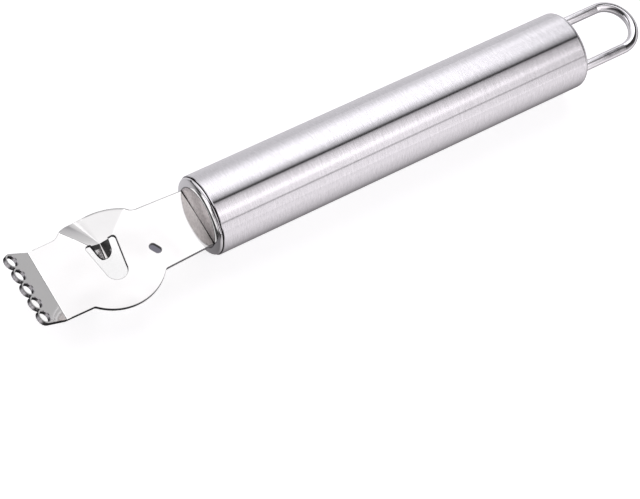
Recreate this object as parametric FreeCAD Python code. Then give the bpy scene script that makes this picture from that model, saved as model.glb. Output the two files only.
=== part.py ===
import FreeCAD, Part
import math
import os

# Citrus zester with a channel knife, lying on its handle. Millimetres and degrees.
# X runs along the handle, with the scalloped tip at the low end and the hanging loop at the high end.
# Z is up and square to the blade. The origin is below the middle of the overall length, on the
# surface that the handle lies on. While the pieces are shaped, x = 0 is the front end of the tube
# and z = 0 is the handle's axis, and each piece is moved to the origin when it is written.

# Handle tube: drawn, closed at the rear
handle_diameter = 20.0
handle_length = 107.0
tube_wall = 0.6
rear_wall = 1.0
rear_edge_radius = 1.1
rear_inner_bevel = 0.3
front_edge_chamfer = 0.2

# Front cap: stamped cup with a rounded shoulder and a skirt that is pressed into the tube
cap_protrusion = 1.1
cap_shoulder_width = 2.1
cap_shoulder_tight_radius = 0.6
cap_rim_step = 0.3
cap_rim_gap = 0.2
cap_wall = 0.8
cap_skirt_depth = 6.0
cap_skirt_clearance = 0.03
cap_slot_clearance = 0.12

# Blade: one stamped sheet, from the folded tip to the tang inside the handle
sheet_thickness = 1.0
root_width = 15.3
root_depth = 2.0
rear_neck_width = 16.4
bulge_diameter = 26.0
bulge_distance = 24.3
front_neck_width = 18.8
fold_width = 18.5
fold_distance = 40.6
neck_radius = 0.8
far_front_neck_radius = 3.0
far_rear_neck_radius = 2.0
tang_width = 10.0
tang_length = 32.0
tang_corner_radius = 2.0

# Tip: folded up, with a row of sharpened holes and a scalloped edge
flange_angle = 34.3
fold_radius = 0.6
hole_count = 5
hole_pitch = 3.775
hole_diameter = 2.7
hole_bevel = 0.15
hole_distance = 5.8
scallop_radius = 1.9

# Channel knife: a trough pressed down from the far edge to a tapered slot, ending in a gouge
trough_offset = 0.25
shoulder_under_radius = 0.2
mouth_left = 9.3
mouth_right = 13.8
mouth_middle = -0.85
mouth_depth = 4.0
mouth_floor_radius = 6.0
crease_edge = 4.35
throat_left = 2.9
throat_right = 3.1
throat_depth = 0.9
throat_floor_radius = 0.4
tongue_width = 4.6
tongue_shift = -0.1
gouge_length = 3.5
gouge_tip_width = 3.4
gouge_tip_radius = 1.4
gouge_section_width = 4.8
gouge_section_drop = 0.4
gouge_floor_drop = 2.2
gouge_floor_radius = 1.5
gouge_thickness = 0.4
slot_far_width = 8.0
slot_far_edge = 4.7
slot_corner_radius = 0.8
slot_near_edge = 5.9
slot_near_width = 5.4

# Small slanted decorating hole near the handle
oval_distance = 14.0
oval_offset = 2.65
oval_length = 3.1
oval_width = 1.8
oval_slant = 30.0

# Moulded plug in the tube, which holds the tang
plug_length = 30.0
plug_clearance = 0.05
tang_clearance = 0.05

# Hanging loop: bent wire through two holes in the rear wall, its ends upset behind the wall
wire_diameter = 2.6
loop_pitch = 13.0
loop_reach = 22.3
wire_clearance = 0.05
wire_head_step = 0.5
wire_head_length = 1.2

# How far a cut runs past what it cuts, and how close an edge lies to the place it is known by
cut_overrun = 1.0
edge_reach = 0.05

# Places and sizes that follow from these
handle_radius = handle_diameter / 2
bore_radius = handle_radius - tube_wall
half_sheet = sheet_thickness / 2
fold_x = -fold_distance
bulge_x = -bulge_distance
trough_x = bulge_x - trough_offset
bulge_radius = bulge_diameter / 2
hole_radius = hole_diameter / 2
fold_trim = fold_radius * math.tan(math.radians(flange_angle / 2))
tip_reach = (hole_distance + scallop_radius) * math.cos(math.radians(flange_angle))
tip_back = sheet_thickness * math.sin(math.radians(flange_angle))
front_end_x = fold_x - tip_reach - tip_back
rear_end_x = handle_length + loop_reach
beyond_edge = bulge_radius + cut_overrun

X_AXIS = FreeCAD.Vector(1, 0, 0)
Y_AXIS = FreeCAD.Vector(0, 1, 0)
Z_AXIS = FreeCAD.Vector(0, 0, 1)


def point(x, y, z=0.0):
    return FreeCAD.Vector(x, y, z)


def flat_face(corners):
    """A face from a closed ring of corners."""
    return Part.Face(Part.makePolygon(corners + corners[:1]))


def sheet_of(outline):
    """A plate as thick as the blade, from (x, y) corners, about the blade's middle plane."""
    face = flat_face([point(x, y, -half_sheet) for x, y in outline])
    return face.extrude(Z_AXIS * sheet_thickness)


def sheet_disc(x, y, radius):
    return Part.makeCylinder(radius, sheet_thickness, point(x, y, -half_sheet), Z_AXIS)


def upright_edges(solid):
    """The straight edges of a plate that stand square to it."""
    boxes = [(edge, edge.BoundBox) for edge in solid.Edges]
    return [edge for edge, box in boxes
            if box.ZLength > half_sheet and box.XLength + box.YLength < edge_reach]


def edges_at(solid, places):
    """The upright edges of a plate that stand at the given (x, y) places."""
    boxes = [(edge, edge.BoundBox) for edge in upright_edges(solid)]
    return [edge for edge, box in boxes
            if any(math.hypot(box.XMin - x, box.YMin - y) < edge_reach for x, y in places)]


def turned(profile_edges):
    """A solid of revolution about the handle's axis, from a closed profile in the XY plane."""
    face = Part.Face(Part.Wire(Part.__sortEdges__(profile_edges)))
    return face.revolve(point(0, 0), X_AXIS, 360)


def line(a, b):
    return Part.LineSegment(a, b).toShape()


def corner_arc(centre, radius, start, end):
    """An arc in the XY plane from one angle to another, in degrees."""
    angles = [math.radians(a) for a in (start, (start + end) / 2, end)]
    points = [centre + point(math.cos(a), math.sin(a)) * radius for a in angles]
    return Part.Arc(*points).toShape()


def handle_tube():
    """Drawn tube with its rear end closed and rounded, and two holes for the loop's legs."""
    rear = handle_length
    inside = rear - rear_wall
    outer_centre = point(rear - rear_edge_radius, handle_radius - rear_edge_radius)
    profile = [
        line(point(0, bore_radius), point(0, handle_radius - front_edge_chamfer)),
        line(point(0, handle_radius - front_edge_chamfer), point(front_edge_chamfer, handle_radius)),
        line(point(front_edge_chamfer, handle_radius), point(outer_centre.x, handle_radius)),
        corner_arc(outer_centre, rear_edge_radius, 90, 0),
        line(point(rear, outer_centre.y), point(rear, 0)),
        line(point(rear, 0), point(inside, 0)),
        line(point(inside, 0), point(inside, bore_radius - rear_inner_bevel)),
        line(point(inside, bore_radius - rear_inner_bevel), point(inside - rear_inner_bevel, bore_radius)),
        line(point(inside - rear_inner_bevel, bore_radius), point(0, bore_radius)),
    ]
    tube = turned(profile)
    hole_depth = rear_wall + 2 * cut_overrun
    for side in (-1, 1):
        start = point(inside - cut_overrun, side * loop_pitch / 2)
        tube = tube.cut(Part.makeCylinder(wire_diameter / 2 + wire_clearance, hole_depth, start, X_AXIS))
    return tube


def front_cap():
    """Stamped cup: flat disc, rounded shoulder, and a skirt inside the tube."""
    rim_radius = handle_radius - cap_rim_step
    flat_radius = rim_radius - cap_shoulder_width
    skirt_radius = bore_radius - cap_skirt_clearance
    inside = skirt_radius - cap_wall
    front = -cap_protrusion
    inner = front + cap_wall
    profile = [
        line(point(front, 0), point(front, flat_radius)),
        *shoulder_edges(flat_radius, rim_radius),
        line(point(-cap_rim_gap, rim_radius), point(-cap_rim_gap, skirt_radius)),
        line(point(-cap_rim_gap, skirt_radius), point(cap_skirt_depth, skirt_radius)),
        line(point(cap_skirt_depth, skirt_radius), point(cap_skirt_depth, inside)),
        line(point(cap_skirt_depth, inside), point(inner, inside)),
        line(point(inner, inside), point(inner, 0)),
        line(point(inner, 0), point(front, 0)),
    ]
    cap = turned(profile)
    slot_width = root_width + 2 * cap_slot_clearance
    slot_height = sheet_thickness + 2 * cap_slot_clearance
    slot = Part.makeBox(cap_protrusion + root_depth, slot_width, slot_height,
                        point(front, -slot_width / 2, -slot_height / 2))
    return cap.cut(slot)


def shoulder_edges(flat_radius, rim_radius):
    """The cap's rounded shoulder: a wide arc from the flat disc, then a tight one down to the rim."""
    tight = cap_shoulder_tight_radius
    width = rim_radius - flat_radius - tight
    drop = cap_protrusion - cap_rim_gap
    wide = (width ** 2 + drop ** 2 - tight ** 2) / (2 * (drop - tight))
    turn = math.degrees(math.asin(width / (wide - tight)))
    return [corner_arc(point(wide - cap_protrusion, flat_radius), wide, 180, 180 - turn),
            corner_arc(point(-cap_rim_gap, rim_radius - tight), tight, 180 - turn, 90)]


def tang_plug():
    """Moulded plug behind the cap's skirt, with a slot that grips the tang."""
    plug = Part.makeCylinder(bore_radius - plug_clearance, plug_length,
                             point(cap_skirt_depth, 0), X_AXIS)
    width = tang_width + 2 * tang_clearance
    height = sheet_thickness + 2 * tang_clearance
    slot = Part.makeBox(tang_length - cap_skirt_depth + tang_clearance, width, height,
                        point(cap_skirt_depth, -width / 2, -height / 2))
    return plug.cut(slot)


def hanging_loop():
    """Wire bent to a U, with its ends upset behind the tube's rear wall."""
    radius = wire_diameter / 2
    bend_radius = loop_pitch / 2
    bend_x = rear_end_x - radius - bend_radius
    inside = handle_length - rear_wall
    section = Part.Face(Part.Wire(Part.makeCircle(radius, point(bend_x, -bend_radius), X_AXIS)))
    loop = section.revolve(point(bend_x, 0), Z_AXIS, 180)
    for side in (-1, 1):
        start = point(inside - wire_head_length, side * bend_radius)
        leg = Part.makeCylinder(radius, bend_x - start.x, start, X_AXIS)
        head = Part.makeCylinder(radius + wire_head_step, wire_head_length, start, X_AXIS)
        loop = loop.fuse([leg, head])
    return loop.removeSplitter()


def blade_plate():
    """The flat of the blade: tip strip, round bulge, root strip and tang, before it is pressed."""
    neck_x = bulge_x + math.sqrt(bulge_radius ** 2 - (rear_neck_width / 2) ** 2)
    tip = [(fold_x + fold_trim, fold_width / 2), (bulge_x, front_neck_width / 2)]
    root = [(bulge_x, rear_neck_width / 2), (neck_x, rear_neck_width / 2),
            (-cap_protrusion, root_width / 2), (root_depth, root_width / 2)]
    tang = [(0, tang_width / 2), (tang_length, tang_width / 2)]
    plate = sheet_disc(bulge_x, 0, bulge_radius)
    for side in (tip, root, tang):
        plate = plate.fuse(sheet_of(side + [(x, -y) for x, y in reversed(side)]))
    plate = plate.removeSplitter()
    return round_necks(plate, neck_x)


def round_necks(plate, neck_x):
    """Rounds the inner corners where the strips run into the bulge, and the tang's ends."""
    front = [edge.BoundBox for edge in upright_edges(plate)
             if fold_x + fold_trim < edge.BoundBox.XMin < bulge_x]
    near_places = [(box.XMin, box.YMin) for box in front if box.YMin < 0]
    far_places = [(box.XMin, box.YMin) for box in front if box.YMin > 0]
    plate = plate.makeFillet(neck_radius, edges_at(plate, near_places + [(neck_x, -rear_neck_width / 2)]))
    plate = plate.makeFillet(far_front_neck_radius, edges_at(plate, far_places))
    plate = plate.makeFillet(far_rear_neck_radius, edges_at(plate, [(neck_x, rear_neck_width / 2)]))
    ends = [(tang_length, tang_width / 2), (tang_length, -tang_width / 2)]
    return plate.makeFillet(tang_corner_radius, edges_at(plate, ends))


def slot_cutter():
    """The tapered slot: square far end with rounded corners, and a round near end."""
    near_radius = slot_near_width / 2
    near_y = near_radius - slot_near_edge
    far = slot_far_width / 2
    corners = [(trough_x - far, slot_far_edge), (trough_x - near_radius, near_y),
               (trough_x + near_radius, near_y), (trough_x + far, slot_far_edge)]
    body = sheet_of(corners)
    body = body.makeFillet(slot_corner_radius, edges_at(body, [corners[0], corners[3]]))
    return body.fuse(sheet_disc(trough_x, near_y, near_radius))


def oval_cutter():
    """The slanted oval hole, as a rounded slot."""
    half_run = (oval_length - oval_width) / 2
    radius = oval_width / 2
    run = sheet_of([(-radius, -half_run), (radius, -half_run), (radius, half_run), (-radius, half_run)])
    hole = run.fuse([sheet_disc(0, half_run, radius), sheet_disc(0, -half_run, radius)])
    hole.rotate(point(0, 0), Z_AXIS, oval_slant)
    hole.translate(point(-oval_distance, -oval_offset))
    return hole


def pressed_section(y, left, right, middle, drop, depth, floor_radius, thickness):
    """The sheet's section across the trough or the gouge at one y, as a closed wire.

    Each side leaves the sheet on a shoulder arc and runs straight down to an arc in the floor. The
    under side has the same centres, so the wall has one thickness."""
    shoulder_radius = thickness + shoulder_under_radius
    radii = shoulder_radius + floor_radius
    level = half_sheet - drop
    floor_level = level - depth + floor_radius
    faces = []
    for outset in (0, thickness):
        shoulder = shoulder_radius - outset
        floor = floor_radius + outset
        rows = []
        for side, half_width in ((-1, left), (1, right)):
            reach = half_width - side * middle
            slope = math.atan2(reach, radii - depth) - math.acos(radii / math.hypot(reach, radii - depth))
            row = []
            for angle in (0, slope / 2, slope):
                row.append(point(trough_x + side * (half_width - shoulder * math.sin(angle)), y,
                                 level - shoulder_radius + shoulder * math.cos(angle)))
            row.append(point(trough_x + middle + side * floor * math.sin(slope), y,
                             floor_level - floor * math.cos(slope)))
            rows.append(row)
        near, far = rows
        bottom = point(trough_x + middle, y, floor_level - floor)
        faces.append([Part.Arc(near[0], near[1], near[2]).toShape(), line(near[2], near[3]),
                      Part.Arc(near[3], bottom, far[3]).toShape(), line(far[3], far[2]),
                      Part.Arc(far[2], far[1], far[0]).toShape()])
    upper, lower = faces
    sides = [line(upper[4].Vertexes[-1].Point, lower[4].Vertexes[-1].Point),
             line(lower[0].Vertexes[0].Point, upper[0].Vertexes[0].Point)]
    return Part.Wire(upper + [sides[0]] + lower[::-1] + [sides[1]])


def trough_section(y):
    """The trough's section at one y, between its throat at the crease and its mouth."""
    share = (y - crease_edge) / (bulge_radius - crease_edge)

    def size(throat, mouth):
        return throat + (mouth - throat) * share

    return pressed_section(y, size(throat_left, mouth_left), size(throat_right, mouth_right),
                           size(0, mouth_middle), 0, size(throat_depth, mouth_depth),
                           size(throat_floor_radius, mouth_floor_radius), sheet_thickness)


def tongue_outline():
    """What the slot leaves of the pressing: a tapered tongue with a round end, as a tall block."""
    far = tongue_width / 2
    near = gouge_tip_width / 2
    tip_y = crease_edge - gouge_length
    middle = trough_x + tongue_shift
    corners = [(middle - far, slot_far_edge), (middle - near, tip_y),
               (middle + near, tip_y), (middle + far, slot_far_edge)]
    block = flat_face([point(x, y, -handle_radius) for x, y in corners]).extrude(Z_AXIS * handle_diameter)
    return block.makeFillet(gouge_tip_radius, edges_at(block, corners[1:3]))


def channel_knife():
    """The pressed trough, and the gouge that it turns down into and that thins to a cutting edge."""
    throat = trough_section(crease_edge)
    side = gouge_section_width / 2
    tip = pressed_section(crease_edge - gouge_length, side, side, 0, gouge_section_drop,
                          gouge_floor_drop - gouge_section_drop, gouge_floor_radius, gouge_thickness)
    trough = Part.makeLoft([throat, trough_section(beyond_edge)], True, True)
    gouge = Part.makeLoft([throat, tip], True, True)
    low = -handle_radius
    outline = Part.makeCylinder(bulge_radius, handle_diameter, point(bulge_x, 0, low), Z_AXIS)
    beyond_slot = Part.makeBox(bulge_diameter, bulge_diameter, handle_diameter,
                               point(bulge_x - bulge_radius, slot_far_edge, low))
    kept = outline.common(beyond_slot).fuse(tongue_outline())
    return trough.fuse(gouge).common(kept)


def folded_tip():
    """The tip beyond the fold: a flange with five sharpened holes and a scallop round each."""
    half = hole_pitch * (hole_count - 1) / 2
    side = [(-fold_trim, fold_width / 2), (-hole_distance, half + scallop_radius)]
    flange = sheet_of(side + [(x, -y) for x, y in reversed(side)])
    rows = [hole * hole_pitch - half for hole in range(hole_count)]
    flange = flange.fuse([sheet_disc(-hole_distance, y, scallop_radius) for y in rows]).removeSplitter()
    for y in rows:
        flange = flange.cut(sheet_disc(-hole_distance, y, hole_radius))
        bevel = Part.makeCone(hole_radius, hole_radius + hole_bevel, hole_bevel,
                              point(-hole_distance, y, half_sheet - hole_bevel), Z_AXIS)
        flange = flange.cut(bevel)
    flange.rotate(point(0, 0, half_sheet), Y_AXIS, flange_angle)
    flange.translate(point(fold_x, 0))
    return flange


def fold():
    """The rounded fold between the flat blade and the tip."""
    start = fold_x + fold_trim
    side = fold_width / 2
    section = flat_face([point(start, -side, -half_sheet), point(start, side, -half_sheet),
                         point(start, side, half_sheet), point(start, -side, half_sheet)])
    return section.revolve(point(start, 0, half_sheet + fold_radius), Y_AXIS, flange_angle)


def blade():
    """The whole stamped sheet."""
    far = trough_section(beyond_edge).BoundBox
    near = trough_section(slot_far_edge).BoundBox
    window = sheet_of([(near.XMin, slot_far_edge), (far.XMin, beyond_edge),
                       (far.XMax, beyond_edge), (near.XMax, slot_far_edge)])
    flat = blade_plate().cut([window, slot_cutter(), oval_cutter()])
    sheet = flat.fuse([channel_knife(), fold(), folded_tip()])
    return sheet.removeSplitter()


def write(name, shape):
    """Moves a finished piece from the handle's axis to the part's origin, and writes it."""
    piece = shape.copy()
    piece.translate(point(-(front_end_x + rear_end_x) / 2, 0, handle_radius))
    if piece.ShapeType == "Compound" and len(piece.Solids) == 1:
        piece = piece.Solids[0]
    piece.exportStep(os.path.join("parts", name + ".step"))
    print(name, "solids", len(piece.Solids), "volume", round(piece.Volume, 2), "valid", piece.isValid())


os.makedirs("parts", exist_ok=True)
write("blade", blade())
write("front_cap", front_cap())
write("tang_plug", tang_plug())
write("handle_tube", handle_tube())
write("hanging_loop", hanging_loop())
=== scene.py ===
import math

import bpy
from mathutils import Matrix, Vector


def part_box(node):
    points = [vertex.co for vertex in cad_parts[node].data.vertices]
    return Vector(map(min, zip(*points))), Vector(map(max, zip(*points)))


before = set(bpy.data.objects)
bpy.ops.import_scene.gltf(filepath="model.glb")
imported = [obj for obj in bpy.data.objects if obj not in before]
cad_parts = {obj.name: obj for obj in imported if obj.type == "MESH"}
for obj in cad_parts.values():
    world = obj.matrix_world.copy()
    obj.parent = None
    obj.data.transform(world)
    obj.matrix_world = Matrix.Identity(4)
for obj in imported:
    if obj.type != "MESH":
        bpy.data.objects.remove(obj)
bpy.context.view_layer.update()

# Blade: one blank of mirror-polished stainless sheet. The bulge with its trough and channel knife is
# pressed in, the five-hole tip is folded up, and the tang runs back into the handle. The sheared edges
# round the blank, the holes and the slot stay a little rougher than the polished faces. They are painted
# darker, partly as duller sheared steel and partly as painted shade on the walls of the holes and the slot,
# with a fine painted dark reflection along their rims, and painted shade where the blade enters the cap.

tube_low, tube_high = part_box("handle_tube")
tube_front = tube_low.x
cap_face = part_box("front_cap")[0].x
fold_distance = 0.0406
fold_place = tube_front - fold_distance
fold_angle = math.radians(34.3)
fold_clear = 0.0012
sheared_slope = (0.72, 0.86)
rim_radius = 0.0004
rim_turn = (0.80, 0.965)
seam_shade_half_width = 0.00011
seam_shade_widening = 4.0
seam_shade_fade = (0.7, 1.1)
seam_shade_darkness = 0.95
trough_distance = 0.02455
trough_place = tube_front - trough_distance
pressed_start, pressed_full = 0.0002, 0.0018
pressed_length = (trough_place + pressed_start, trough_place + pressed_full)
pressed_side = (0.0052, 0.0062)
pressed_radius = 0.0009
wave_scale = 75.0
wave_height = 0.0002
scratch_height = 0.000002
sheet_colours = ((0.855, 0.865, 0.83, 1.0), (0.895, 0.90, 0.865, 1.0))
sheet_roughness = (0.045, 0.085)
# partly painted shade: the sheared faces are darker for duller steel and for the shade in the holes and
# slot
sheared_dull_and_shade_colour = (0.43, 0.425, 0.43, 1.0)
sheared_roughness = 0.2
# painted reflection: the fine dark line along the sheared edges
rim_reflection_colour = (0.10, 0.10, 0.10, 1.0)
# painted shade in the gaps between parts
gap_shade_colour = (0.03, 0.03, 0.03, 1.0)


def set_inputs(tree, node, inputs):
    """Each input is another node's output, or a plain value."""
    for socket, value in inputs.items():
        if hasattr(value, "is_output"):
            tree.links.new(value, node.inputs[socket])
        else:
            node.inputs[socket].default_value = value


def add_node(tree, kind, inputs=None, **settings):
    node = tree.nodes.new("ShaderNode" + kind)
    for setting, value in settings.items():
        setattr(node, setting, value)
    set_inputs(tree, node, inputs or {})
    return node


def noise(tree, point, scale, detail, roughness=0.5):
    inputs = {"Vector": point, "Scale": scale, "Detail": detail, "Roughness": roughness}
    return add_node(tree, "TexNoise", inputs).outputs["Fac"]


def new_group(name, inputs, outputs):
    tree = bpy.data.node_groups.new(name, "ShaderNodeTree")
    for socket, kind, value in inputs:
        made = tree.interface.new_socket(socket, in_out="INPUT", socket_type="NodeSocket" + kind)
        if value is not None:
            made.default_value = value
    for socket in outputs:
        tree.interface.new_socket(socket, in_out="OUTPUT", socket_type="NodeSocketFloat")
    return tree, tree.nodes.new("NodeGroupInput").outputs, tree.nodes.new("NodeGroupOutput")


# Polish marks: fine straight scratches left by the buffing wheel and a faint cloudiness from handling.
polish_marks, given, result = new_group(
    "polish_marks",
    [("Vector", "Vector", None), ("Scratches", "Float", 9000.0), ("Clouds", "Float", 260.0)],
    ["Scratch", "Cloud"],
)
stretched = add_node(polish_marks, "Mapping", {"Vector": given["Vector"], "Scale": (0.03, 1.0, 1.0)})
set_inputs(polish_marks, result, {
    "Scratch": noise(
        polish_marks, stretched.outputs["Vector"], given["Scratches"], detail=3.0, roughness=0.6,
    ),
    "Cloud": noise(polish_marks, given["Vector"], given["Clouds"], detail=4.0, roughness=0.55),
})

# the reach of most of a noise, a mask from end to end, and a mask that fades out
noise_span = (0.3, 0.7)
whole = (0.0, 1.0)
fading = (1.0, 0.0)


def new_material(name):
    """A material, its node tree, and the point of the surface that its patterns follow."""
    material = bpy.data.materials.new(name)
    material.use_nodes = True
    tree = material.node_tree
    return material, tree, add_node(tree, "TexCoord").outputs["Object"]


def place_group(tree, group, inputs):
    return add_node(tree, "Group", inputs, node_tree=group).outputs


def parts_of(tree, vector):
    """X runs back along the handle from the middle of the tool, Y across the blade, and Z up."""
    return add_node(tree, "SeparateXYZ", {"Vector": vector}).outputs


def calculate(tree, operation, *values, kind="Math", result="Value"):
    return add_node(tree, kind, dict(enumerate(values)), operation=operation).outputs[result]


def distance(tree, value, place):
    return calculate(tree, "ABSOLUTE", calculate(tree, "SUBTRACT", value, place))


def spread(tree, value, limits, results=whole, fade="LINEAR"):
    """Turns a value that runs between two limits into one that runs between two results."""
    inputs = {
        "Value": value, "From Min": limits[0], "From Max": limits[1],
        "To Min": results[0], "To Max": results[1],
    }
    return add_node(tree, "MapRange", inputs, interpolation_type=fade).outputs["Result"]


def mix_values(tree, share, first, second):
    return add_node(tree, "Mix", {0: share, 2: first, 3: second}).outputs[0]


def mix_normals(tree, share, first, second):
    return add_node(tree, "Mix", {0: share, 4: first, 5: second}, data_type="VECTOR").outputs[1]


def mix_colours(tree, share, first, second, blend_type="MIX"):
    inputs = {0: share, 6: first, 7: second}
    return add_node(tree, "Mix", inputs, data_type="RGBA", blend_type=blend_type).outputs[2]


def bump(tree, height, strength, depth, normal=None, invert=False):
    inputs = {"Height": height, "Strength": strength, "Distance": depth}
    if normal is not None:
        inputs["Normal"] = normal
    return add_node(tree, "Bump", inputs, invert=invert).outputs["Normal"]


def finish_node(name, material, surface):
    """Sets the material's surface, and gives the material to a solid of the frame."""
    tree = material.node_tree
    set_inputs(tree, tree.nodes["Principled BSDF"], surface)
    for material_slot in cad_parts[name].material_slots:
        material_slot.material = material


polished_sheet, tree, point = new_material("polished_sheet")
marks = place_group(tree, polish_marks, {"Vector": point})
lie = parts_of(tree, point)
# sheared edges: the faces of the sheet's thickness stand square to the flat, or beyond the fold to the tip
facing = add_node(tree, "TexCoord").outputs["Normal"]
tip_facing = (math.sin(fold_angle), 0.0, math.cos(fold_angle))
from_flat = calculate(tree, "DOT_PRODUCT", facing, (0.0, 0.0, 1.0), kind="VectorMath")
from_tip = calculate(tree, "DOT_PRODUCT", facing, tip_facing, kind="VectorMath")
beyond_fold = calculate(tree, "LESS_THAN", lie["X"], fold_place)
slope = calculate(tree, "ABSOLUTE", mix_values(tree, beyond_fold, from_flat, from_tip))
sheared = spread(tree, slope, sheared_slope, fading, "SMOOTHSTEP")
# where the blade goes through the slot in the cap, the shade in the gap is painted on the blade as a dark
# line, wider toward its two ends
sideways = calculate(tree, "POWER", lie["Y"], 2.0)
seam_shade_width = calculate(tree, "MULTIPLY_ADD", sideways, seam_shade_widening, seam_shade_half_width)
off_seam_shade = calculate(tree, "DIVIDE", distance(tree, lie["X"], cap_face), seam_shade_width)
seam_shade = spread(tree, off_seam_shade, seam_shade_fade, (seam_shade_darkness, 0.0), "SMOOTHSTEP")
# a fine dark line is painted along each sheared edge, but not at the fold: the painted reflection of a
# round, tumbled rim, which is found with a Bevel normal and not modelled
flat_normal = add_node(tree, "NewGeometry").outputs["Normal"]
rim_normal = add_node(tree, "Bevel", {"Radius": rim_radius}, samples=8).outputs["Normal"]
turned = calculate(tree, "DOT_PRODUCT", rim_normal, flat_normal, kind="VectorMath")
off_fold = calculate(tree, "GREATER_THAN", distance(tree, lie["X"], fold_place), fold_clear)
rim_reflection_line = calculate(tree, "MULTIPLY", spread(tree, turned, rim_turn, fading), off_fold)
# behind the trough the press leaves the crease and the far rim soft
soft_normal = add_node(tree, "Bevel", {"Radius": pressed_radius}, samples=12).outputs["Normal"]
behind_trough = spread(tree, lie["X"], pressed_length)
pressed = calculate(tree, "MULTIPLY", behind_trough, spread(tree, lie["Y"], pressed_side))
normal = mix_normals(tree, pressed, flat_normal, soft_normal)
# rolled sheet is never quite flat
wave = noise(tree, point, wave_scale, detail=1.0)
normal = bump(tree, wave, strength=1.0, depth=wave_height, normal=normal)
colour = mix_colours(tree, marks["Cloud"], *sheet_colours)
# painted shade, partly: the sheared faces are darkened as duller steel and as shade on the walls of the
# holes and the slot
colour = mix_colours(tree, sheared, colour, sheared_dull_and_shade_colour)
# painted shade: the dark line where the blade enters the slot of the cap
colour = mix_colours(tree, seam_shade, colour, gap_shade_colour)
face_roughness = spread(tree, marks["Cloud"], noise_span, sheet_roughness)
finish_node("blade", polished_sheet, {
    # painted reflection along the sheared edges, painted shade at the cap's slot
    "Base Color": mix_colours(tree, rim_reflection_line, colour, rim_reflection_colour),
    "Roughness": mix_values(tree, sheared, face_roughness, sheared_roughness),
    "Normal": bump(tree, marks["Scratch"], strength=0.25, depth=scratch_height, normal=normal),
    "Metallic": 1.0,
})

# Tang plug: a dark moulded nylon plug inside the tube. It grips the blade's tang, and shows only as the
# dark behind the slot of the cap.

nylon_colours = ((0.018, 0.018, 0.02, 1.0), (0.035, 0.035, 0.038, 1.0))
nylon_roughness = (0.42, 0.6)
nylon_flow_scale = 220.0
nylon_grain_scale = 4000.0
nylon_grain_height = 0.00002

moulded_nylon, tree, point = new_material("moulded_nylon")
flow = noise(tree, point, nylon_flow_scale, detail=2.0)
grain = noise(tree, point, nylon_grain_scale, detail=3.0)
finish_node("tang_plug", moulded_nylon, {
    "Base Color": mix_colours(tree, flow, *nylon_colours),
    "Roughness": spread(tree, flow, whole, nylon_roughness),
    "Normal": bump(tree, grain, strength=0.5, depth=nylon_grain_height),
})

# Handle tube: stainless tube, brushed round its girth on a belt, so that every scratch runs round it and
# the light draws out along it. The rear is closed, and its edge is rounded and brushed the same way.

tube_axis_height = (tube_low.z + tube_high.z) / 2
cut_end_clear = 0.00002
cut_end_depth = 0.0001
line_stretch = (1.0, 0.11, 0.11)
band_stretch = (1.0, 0.12, 0.12)
line_height = 0.000004
tube_colours = ((0.72, 0.715, 0.725, 1.0), (0.88, 0.875, 0.885, 1.0))
tube_roughness = (0.14, 0.17)


def stretch(tree, point, scale):
    return add_node(tree, "Mapping", {"Vector": point, "Scale": scale}).outputs["Vector"]


def from_axis(tree, point):
    """The point with its height taken from the tube's axis."""
    inputs = {"Vector": point, "Location": (0.0, 0.0, -tube_axis_height)}
    return add_node(tree, "Mapping", inputs).outputs["Vector"]


def axis_distance(tree, point):
    square = calculate(tree, "MULTIPLY", point, (0.0, 1.0, 1.0), kind="VectorMath", result="Vector")
    return calculate(tree, "LENGTH", square, kind="VectorMath")


# Girth grain: brush lines that run round the tube's axis, and in rings on a face across it.
girth_grain, given, result = new_group(
    "girth_grain",
    [("Vector", "Vector", None), ("Lines", "Float", 5200.0), ("Bands", "Float", 1500.0)],
    ["Line", "Band"],
)
parts = parts_of(girth_grain, given["Vector"])
run = calculate(girth_grain, "SUBTRACT", parts["X"], axis_distance(girth_grain, given["Vector"]))
wound = add_node(girth_grain, "CombineXYZ", {"X": run, "Y": parts["Y"], "Z": parts["Z"]}).outputs["Vector"]
lines = stretch(girth_grain, wound, line_stretch)
bands = stretch(girth_grain, wound, band_stretch)
set_inputs(girth_grain, result, {
    "Line": noise(girth_grain, lines, given["Lines"], detail=4.0, roughness=0.7),
    "Band": noise(girth_grain, bands, given["Bands"], detail=3.0, roughness=0.6),
})

brushed_tube, tree, point = new_material("brushed_tube")
brush = place_group(tree, girth_grain, {"Vector": from_axis(tree, point)})
colour = mix_colours(tree, spread(tree, brush["Line"], noise_span), *tube_colours)
# painted shade: the cut end of the tube is painted dark between the cap and the tube's front edge, where
# the gap is in shade
cut_end_limits = (tube_front + cut_end_clear, tube_front + cut_end_depth)
cut_end_shade = spread(tree, parts_of(tree, point)["X"], cut_end_limits, fading)
finish_node("handle_tube", brushed_tube, {
    "Base Color": mix_colours(tree, cut_end_shade, colour, gap_shade_colour),
    "Roughness": spread(tree, brush["Band"], noise_span, tube_roughness),
    "Normal": bump(tree, brush["Line"], strength=0.5, depth=line_height),
    "Tangent": add_node(tree, "Tangent", direction_type="RADIAL", axis="X").outputs["Tangent"],
    "Metallic": 1.0,
    "Anisotropic": 1.0,
    "Anisotropic Rotation": 0.25,
})

# Front cap: a small stamped stainless cup pushed into the tube's front end. Its face is satin, its
# rounded shoulder is polished, and the blade comes out through the slot in its face.

satin_radius = 0.0076
satin_blend = 0.0003
# painted shade at the crease of the cap's face and shoulder
crease_shade_width = 0.00024
crease_shade_darkness = 0.95
rim_gap = 0.00023
satin_grain_scale = 1700.0
satin_grain_height = 0.000004
mottle_span = (0.36, 0.64)
satin_colours = ((0.66, 0.61, 0.60, 1.0), (0.98, 0.92, 0.91, 1.0))
satin_roughness = (0.40, 0.50)
satin_gloss = 0.85
dome_steepness = 24.0
shoulder_colour = (0.93, 0.925, 0.93, 1.0)
shoulder_roughness = 0.08

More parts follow.
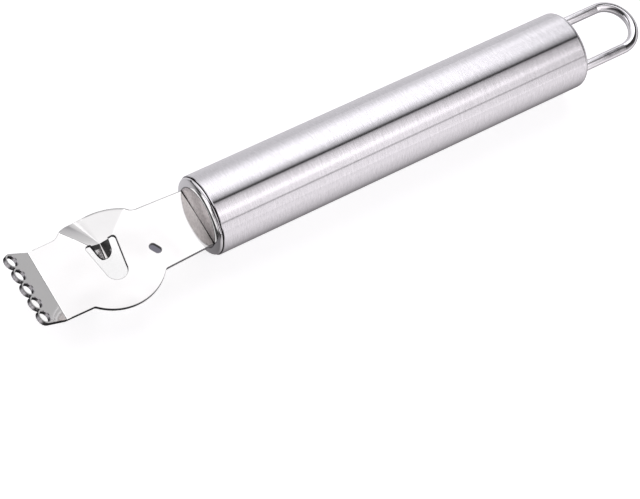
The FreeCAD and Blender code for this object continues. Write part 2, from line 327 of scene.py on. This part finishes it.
satin_cap, tree, point = new_material("satin_cap")
marks = place_group(tree, polish_marks, {"Vector": point})
radius = axis_distance(tree, from_axis(tree, point))
shoulder_limits = (satin_radius - satin_blend, satin_radius + satin_blend)
shoulder = spread(tree, radius, shoulder_limits, fade="SMOOTHSTEP")
grain = noise(tree, point, satin_grain_scale, detail=5.0, roughness=0.75)
satin_colour = mix_colours(tree, spread(tree, grain, mottle_span), *satin_colours)
colour = mix_colours(tree, shoulder, satin_colour, shoulder_colour)
# painted shade: a fine dark line at the crease where the die-pressed face meets its shoulder, and a dark
# rim in the gap at the tube
off_line = distance(tree, radius, satin_radius)
crease_shade_line = spread(tree, off_line, (0.0, crease_shade_width), (crease_shade_darkness, 0.0), "SMOOTHSTEP")
gap_shade = calculate(tree, "GREATER_THAN", parts_of(tree, point)["X"], tube_front - rim_gap)
cap_painted_shade = calculate(tree, "MAXIMUM", crease_shade_line, gap_shade)
# the blasted face scatters light and is a little domed, as the press leaves it
rise = calculate(tree, "MINIMUM", calculate(tree, "POWER", radius, 2.0), satin_radius ** 2)
normal = bump(tree, grain, strength=0.5, depth=satin_grain_height)
face_roughness = spread(tree, marks["Cloud"], whole, satin_roughness)
finish_node("front_cap", satin_cap, {
    # painted shade at the cap's crease and in its gap at the tube
    "Base Color": mix_colours(tree, cap_painted_shade, colour, gap_shade_colour),
    "Roughness": mix_values(tree, shoulder, face_roughness, shoulder_roughness),
    "Normal": bump(tree, rise, strength=1.0, depth=dome_steepness, normal=normal, invert=True),
    "Metallic": spread(tree, shoulder, whole, (satin_gloss, 1.0)),
})

# Hanging loop: one length of bright drawn stainless wire, bent to a U, with both legs pushed through the
# closed rear of the tube and upset inside it. It is polished all round.

wire_colours = ((0.86, 0.86, 0.87, 1.0), (0.93, 0.925, 0.925, 1.0))
wire_roughness = (0.06, 0.12)
wire_scratches = 7000.0

polished_wire, tree, point = new_material("polished_wire")
marks = place_group(tree, polish_marks, {"Vector": point, "Scratches": wire_scratches})
finish_node("hanging_loop", polished_wire, {
    "Base Color": mix_colours(tree, marks["Cloud"], *wire_colours),
    "Roughness": spread(tree, marks["Cloud"], noise_span, wire_roughness),
    "Normal": bump(tree, marks["Scratch"], strength=0.3, depth=scratch_height),
    "Metallic": 1.0,
})

# Floor: a pale table that the zester lies on, nearly white to the camera. What the steel mirrors of it is
# not the table's own look: mirrored rays see listed tones, so that the reflections come out as in the
# photograph. They are darkest beside the tube on the -Y side, and an even light grey on the +Y side. In
# front of the handle they are dark under and just before the tip, and light again beyond.

floor_half_width = 3.0
floor_colours = ((0.86, 0.86, 0.865, 1.0), (0.10, 0.098, 0.12, 1.0))
floor_glows = ((1.0, 1.0, 1.0, 1.0), (0.23, 0.225, 0.265, 1.0))
floor_glow = 0.68
floor_roughness = 0.9
shade_distance = 0.0076
shade_side = 0.0010
shade_half_length = 0.0082
shade_half_width = 0.0058
shade_fade = (0.6, 1.0)
warm_tint = (1.0, 0.955, 1.0)
cool_tint = (0.995, 0.97, 1.02)
no_tint = (1.0, 1.0, 1.0)
side_tones = [
    (-0.060, 0.93), (-0.046, 0.87), (-0.030, 0.79), (-0.022, 0.67), (-0.017, 0.54), (-0.014, 0.40),
    (-0.0115, 0.27), (-0.009, 0.22), (0.000, 0.30), (0.009, 0.52), (0.013, 0.67), (0.0165, 0.70),
    (0.021, 0.70), (0.028, 0.69), (0.040, 0.69), (0.060, 0.67),
]
front_tones = [
    (-0.36, 1.7), (-0.22, 1.2), (-0.150, 0.80), (-0.124, 0.16), (-0.104, 0.07), (-0.066, 0.08),
    (-0.054, 0.72), (-0.044, 0.80), (-0.037, 1.0),
]

bpy.ops.object.select_all(action="DESELECT")
bpy.ops.mesh.primitive_plane_add(size=2 * floor_half_width, location=(0.0, 0.0, 0.0))
floor = bpy.context.active_object
floor.name = "floor"


def tone_ramp(tree, share, tones, middle=0.0, low_tint=no_tint, high_tint=no_tint):
    """A colour ramp over the places in a list of tones, with one tint on each side of a middle place."""
    low, high = tones[0][0], tones[-1][0]
    stops = []
    for place, tone in tones:
        tint = low_tint if place < middle else high_tint
        stops.append(((place - low) / (high - low), tuple(tone * part for part in tint) + (1.0,)))
    node = add_node(tree, "ValToRGB", {"Fac": share})
    ramp = node.color_ramp
    for end in (0, -1):
        ramp.elements[end].position, ramp.elements[end].color = stops[end]
    for place, tone in stops[1:-1]:
        ramp.elements.new(place).color = tone
    return node.outputs["Color"]


pale_table, tree, point = new_material("pale_table")
# the small oval hole is dark in the photograph, so the table has a soft dark patch where the camera looks
# through the hole; the patch is painted, and nothing casts it
shade_place = (tube_front - shade_distance, shade_side, 0.0)
shade_scale = (1 / shade_half_length, 1 / shade_half_width, 0.0)
from_shade = calculate(tree, "SUBTRACT", point, shade_place, kind="VectorMath", result="Vector")
from_shade = calculate(tree, "MULTIPLY", from_shade, shade_scale, kind="VectorMath", result="Vector")
from_shade = calculate(tree, "LENGTH", from_shade, kind="VectorMath")
shade = spread(tree, from_shade, shade_fade, fading, "SMOOTHSTEP")
shader = tree.nodes["Principled BSDF"]
set_inputs(tree, shader, {
    "Base Color": mix_colours(tree, shade, *floor_colours),
    "Roughness": floor_roughness,
    "Specular IOR Level": 0.0,
    "Emission Color": mix_colours(tree, shade, *floor_glows),
    "Emission Strength": floor_glow,
})
lie = parts_of(tree, point)
side_share = spread(tree, lie["Y"], (side_tones[0][0], side_tones[-1][0]))
front_share = spread(tree, lie["X"], (front_tones[0][0], front_tones[-1][0]))
mirrored_tone = mix_colours(
    tree, 1.0,
    tone_ramp(tree, side_share, side_tones, low_tint=warm_tint, high_tint=cool_tint),
    tone_ramp(tree, front_share, front_tones),
    "MULTIPLY",
)
either = add_node(tree, "MixShader", {
    0: add_node(tree, "LightPath").outputs["Is Glossy Ray"],
    1: shader.outputs["BSDF"],
    2: add_node(tree, "Emission", {"Color": mirrored_tone}).outputs["Emission"],
})
set_inputs(tree, tree.nodes["Material Output"], {"Surface": either.outputs["Shader"]})
floor.data.materials.append(pale_table)

# Light: tones by direction, as of a white tent with two long soft boxes over the table, one on each side
# of the handle and in line with it, and a narrow dark gap between them. They were set from greys
# measured on the photographed steel, until the reflections came out alike. The tones go round the handle's
# axis in degrees, from the horizon on the +Y side, over the top, to the horizon on the -Y side. Past the
# ends of the boxes come other zones. The far end is dark overhead, with a light straight beyond it, and
# the near end is lit on the +Y side, with a dark gap across it. The camera sees the tent plain white.

box_tones = [
    (0, 0.61), (6, 0.585), (11, 0.62), (16, 0.70), (21, 0.785), (27, 0.90), (34, 1.05), (46, 1.22),
    (57, 1.26), (64, 1.24), (70, 1.12), (76, 0.90), (82, 0.65), (88, 0.37), (91.5, 0.07), (95, 0.03),
    (97, 0.43), (105, 0.74), (111, 0.86), (117, 1.00), (124, 1.26), (129, 1.30), (136, 0.98), (143, 0.90),
    (150.5, 0.87), (152, 0.36), (154, 0.36), (156, 0.82), (163, 0.84), (172, 0.84), (180, 0.84),
]
far_end_tones = [
    (0, 0.66), (9, 0.74), (22, 0.90), (30, 0.60), (38, 0.10), (50, 0.045), (75, 0.035), (90, 0.035),
    (102, 0.035), (116, 0.04), (128, 0.07), (142, 0.20), (160, 0.38), (180, 0.45),
]
far_wall_tones = [
    (0, 0.48), (18, 0.50), (32, 0.54), (46, 0.56), (57, 0.46), (64, 0.12), (68, 0.045), (130, 0.045),
    (150, 0.12), (165, 0.28), (180, 0.42),
]
far_light_tones = [
    (0, 0.48), (18, 0.50), (32, 0.54), (46, 0.62), (60, 0.78), (120, 0.78), (150, 0.62), (180, 0.50),
]
near_end_tones = [
    (0, 0.66), (20, 0.90), (36, 1.15), (50, 1.30), (60, 1.20), (69, 1.05), (78, 0.55), (86, 0.08),
    (100, 0.03), (120, 0.04), (150, 0.10), (180, 0.34),
]
near_gap_tones = [
    (0, 0.60), (30, 0.45), (46, 0.20), (56, 0.05), (110, 0.04), (150, 0.16), (180, 0.60),
]
near_light_tones = [
    (0, 0.66), (30, 0.90), (52, 1.50), (66, 1.50), (78, 1.00), (88, 1.20), (94, 0.20), (100, 0.05),
    (125, 0.05), (180, 0.30),
]
box_end = 0.521
# where a zone starts and where it is full, by the X part of the way to it; each covers those before it
zones = [
    ((box_end, 0.531), far_end_tones),
    ((0.72, 0.84), far_wall_tones),
    ((0.905, 0.935), far_light_tones),
    ((0.12, -0.24), near_end_tones),
    ((-0.47, -0.56), near_gap_tones),
    ((-0.74, -0.80), near_light_tones),
]
# toward their far end the boxes grow brighter
box_glow_start = 0.30
box_glow = (1.0, 1.65)
top = 90.0
tent_white = (0.95, 0.95, 0.955, 1.0)

world = bpy.data.worlds.new("light_tent")
bpy.context.scene.world = world
world.use_nodes = True
tree = world.node_tree
way = parts_of(tree, add_node(tree, "TexCoord").outputs["Generated"])
turn = spread(tree, calculate(tree, "ARCTAN2", way["Z"], way["Y"]), (0.0, math.pi))
boxes = tone_ramp(tree, turn, box_tones, top, cool_tint, warm_tint)
glow = spread(tree, way["X"], (box_glow_start, box_end), box_glow)
tent = add_node(tree, "VectorMath", {0: boxes, "Scale": glow}, operation="SCALE").outputs["Vector"]
for limits, tones in zones:
    past = spread(tree, way["X"], limits, fade="SMOOTHSTEP")
    tent = mix_colours(tree, past, tent, tone_ramp(tree, turn, tones, top, cool_tint, warm_tint))
to_camera = add_node(tree, "LightPath").outputs["Is Camera Ray"]
set_inputs(tree, tree.nodes["Background"], {"Color": mix_colours(tree, to_camera, tent, tent_white)})

# Camera: stands where the photograph was taken from, in front of the blade, to its left and above.

camera_azimuth = math.radians(-53.14)
camera_elevation = math.radians(61.18)
camera_roll = math.radians(23.83)
camera_place = Vector((-0.20205, -0.15617, 0.42279))
photo_width = 640
focal_pixels = 2023.1
sensor_width = 36.0

camera_data = bpy.data.cameras.new("camera")
camera_data.sensor_width = sensor_width
camera_data.lens = focal_pixels * sensor_width / photo_width
camera = bpy.data.objects.new("camera", camera_data)
bpy.context.scene.collection.objects.link(camera)
camera.matrix_world = (
    Matrix.Translation(camera_place)
    @ Matrix.Rotation(camera_azimuth, 4, "Z")
    @ Matrix.Rotation(math.pi / 2 - camera_elevation, 4, "X")
    @ Matrix.Rotation(camera_roll, 4, "Z")
)
bpy.context.scene.camera = camera
bpy.context.scene.view_settings.view_transform = "Standard"
